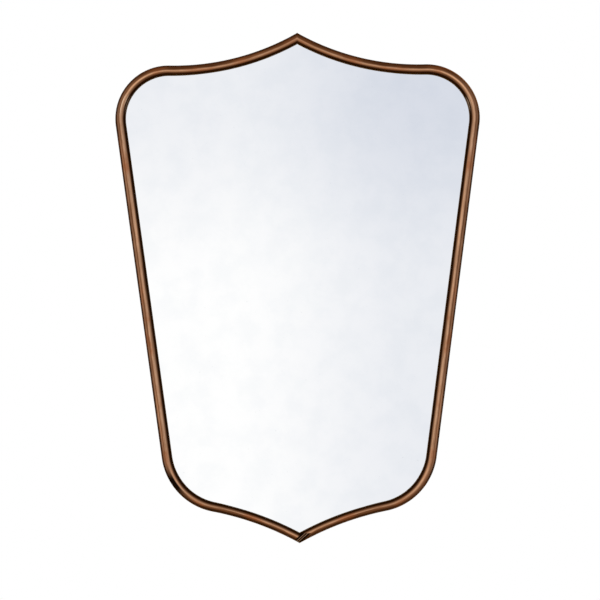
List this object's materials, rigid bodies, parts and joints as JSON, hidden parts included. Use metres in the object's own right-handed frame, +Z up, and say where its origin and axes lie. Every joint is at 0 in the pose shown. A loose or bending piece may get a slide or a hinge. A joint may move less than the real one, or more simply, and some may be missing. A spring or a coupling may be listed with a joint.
{
  "type": "shield wall mirror",
  "caption": "Shield-shaped wall mirror in a slim half-round brass frame, with rounded shoulders, a pointed top and foot, and hinged rings on the back for hanging.",
  "frame": {"origin": "centre of the whole mirror's bounding box: midway across, midway between the top and bottom tips, and midway between the frame's crest and the bumpers' rear faces", "axes": "+Z up the mirror to its top tip, -Y out of the face towards the viewer, +Y towards the wall, +X to the viewer's right"},
  "size_m": [0.4998, 0.029, 0.7],
  "materials": {
    "aged_brass": "aged brown patina, half rubbed through to the metal on the crest",
    "solder": "dull, filed flush and toned to the frame",
    "plain_brass": "as rolled, dull",
    "screw_brass": "toned dark, slotted heads",
    "screw_steel": "zinc plated",
    "hanger_steel": "zinc plated, lightly scuffed",
    "foam_tape": "closed-cell foam",
    "silvered_glass": "clear float glass with a silver coat behind",
    "felt": "grey needle felt",
    "block_rubber": "matt",
    "plywood": "birch plywood, thin satin lacquer",
    "bumper_rubber": "matt, soft"
  },
  "bodies": {
    "mirror": {"frame_left": "aged_brass", "frame_right": "aged_brass", "solder_seam_top": "solder", "solder_seam_bottom": "solder", "joint_strap_top": "plain_brass", "joint_strap_bottom": "plain_brass", "joint_screws_top": "screw_brass", "joint_screws_bottom": "screw_brass", "glazing_tape_left": "foam_tape", "glazing_tape_right": "foam_tape", "mirror_glass": "silvered_glass", "backing_felt": "felt", "setting_block_left": "block_rubber", "setting_block_right": "block_rubber", "edge_spacer_upper_left": "block_rubber", "edge_spacer_upper_right": "block_rubber", "edge_spacer_lower_left": "block_rubber", "edge_spacer_lower_right": "block_rubber", "back_panel": "plywood", "side_screws_left": "screw_brass", "side_screws_right": "screw_brass", "hanger_strap_left": "hanger_steel", "hanger_strap_right": "hanger_steel", "hanger_screws_left": "screw_steel", "hanger_screws_right": "screw_steel", "wall_bumper_upper_left": "bumper_rubber", "wall_bumper_upper_right": "bumper_rubber", "wall_bumper_lower_left": "bumper_rubber", "wall_bumper_lower_right": "bumper_rubber"},
    "ring_left": {"hanger_ring_left": "hanger_steel"},
    "ring_right": {"hanger_ring_right": "hanger_steel"}
  },
  "joints": [
    {"name": "left_ring_swing", "type": "hinge", "parent": "mirror", "child": "ring_left", "pos_m": [-0.15, 0.0105, 0.15], "axis": [1, 0, 0], "range_deg": [0, 180]},
    {"name": "right_ring_swing", "type": "hinge", "parent": "mirror", "child": "ring_right", "pos_m": [0.15, 0.0105, 0.15], "axis": [1, 0, 0], "range_deg": [0, 180]}
  ]
}
